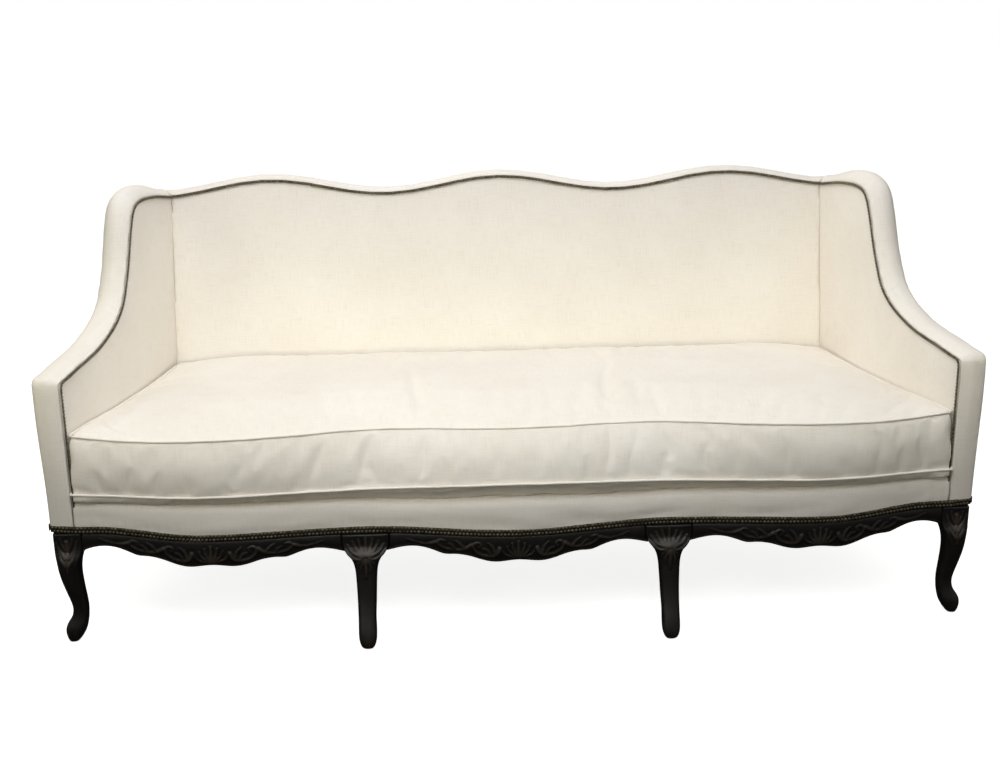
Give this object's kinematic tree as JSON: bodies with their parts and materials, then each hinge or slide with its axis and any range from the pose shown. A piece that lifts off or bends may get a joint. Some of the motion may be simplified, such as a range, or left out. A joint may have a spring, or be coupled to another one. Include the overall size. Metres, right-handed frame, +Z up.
{
  "type": "cabriole sofa",
  "caption": "Long winged sofa with a waved back, nailed linen upholstery, a carved base on cabriole legs and a loose boxed seat cushion.",
  "frame": {"origin": "on the floor, under the middle of the sofa's overall box", "axes": "+X to the sitter's view right along the sofa's length as seen from the front, +Y from the front to the back, +Z up"},
  "size_m": [2.203, 0.9364, 0.982],
  "materials": {
    "carved_wood": "near-black brown stained and waxed carved wood",
    "frame_wood": "bare planed beech",
    "linen": "warm off-white plain-woven linen",
    "cushion_linen": "off-white plain-woven linen, a little cooler",
    "nail_bronze": "antique bronze domed nail heads",
    "padding": "undyed stuffing and wadding",
    "dust_cloth": "thin black cloth",
    "jute": "woven jute webbing",
    "spring_steel": "coppery steel wire, dull",
    "zip_tape": "woven zip tape",
    "zip_metal": "dull brass zip slider"
  },
  "bodies": {
    "sofa_frame": {"front_apron_centre": "carved_wood", "front_apron_left": "carved_wood", "front_apron_right": "carved_wood", "front_leg_left": "carved_wood", "front_leg_right": "carved_wood", "front_leg_centre_left": "carved_wood", "front_leg_centre_right": "carved_wood", "rear_post_left": "carved_wood", "rear_post_right": "carved_wood", "rear_leg_centre_left": "carved_wood", "rear_leg_centre_right": "carved_wood", "side_apron_left": "carved_wood", "side_apron_right": "carved_wood", "rear_seat_rail": "frame_wood", "back_tack_rail": "frame_wood", "back_top_rail": "frame_wood", "seat_cross_rail_left": "frame_wood", "seat_cross_rail_right": "frame_wood", "corner_block_rear_left": "frame_wood", "corner_block_rear_right": "frame_wood", "arm_post_left": "frame_wood", "arm_post_right": "frame_wood", "arm_rail_left": "frame_wood", "arm_rail_right": "frame_wood", "arm_tack_rail_left": "frame_wood", "arm_tack_rail_right": "frame_wood", "back_mid_post_left": "frame_wood", "back_mid_post_right": "frame_wood", "inside_back_pad": "linen", "outside_back_cover": "linen", "back_border": "linen", "deck_cover": "linen", "inside_arm_pad_left": "linen", "inside_arm_pad_right": "linen", "outside_arm_cover_left": "linen", "outside_arm_cover_right": "linen", "arm_border_left": "linen", "arm_border_right": "linen", "nail_trim_back": "nail_bronze", "nail_trim_base_front": "nail_bronze", "nail_trim_arm_left": "nail_bronze", "nail_trim_arm_right": "nail_bronze", "nail_trim_base_left": "nail_bronze", "nail_trim_base_right": "nail_bronze", "deck_pad": "padding", "dust_cover": "dust_cloth", "seat_webbing": "jute", "seat_spring_1": "spring_steel", "seat_spring_2": "spring_steel", "seat_spring_3": "spring_steel", "seat_spring_4": "spring_steel", "seat_spring_5": "spring_steel", "seat_spring_6": "spring_steel"},
    "seat_cushion": {"seat_cushion_cover": "cushion_linen", "seat_cushion_core": "padding", "cushion_welt_top": "cushion_linen", "cushion_welt_bottom": "cushion_linen", "cushion_zip": "zip_tape"},
    "zip_slider": {"zip_slider": "zip_metal"}
  },
  "joints": [
    {"name": "cushion_lift", "type": "slide", "parent": "sofa_frame", "child": "seat_cushion", "axis": [0, 0, 1], "range_m": [0, 0.65]},
    {"name": "zip_slide", "type": "slide", "parent": "seat_cushion", "child": "zip_slider", "axis": [1, 0, 0], "range_m": [-0.576, 0]}
  ]
}
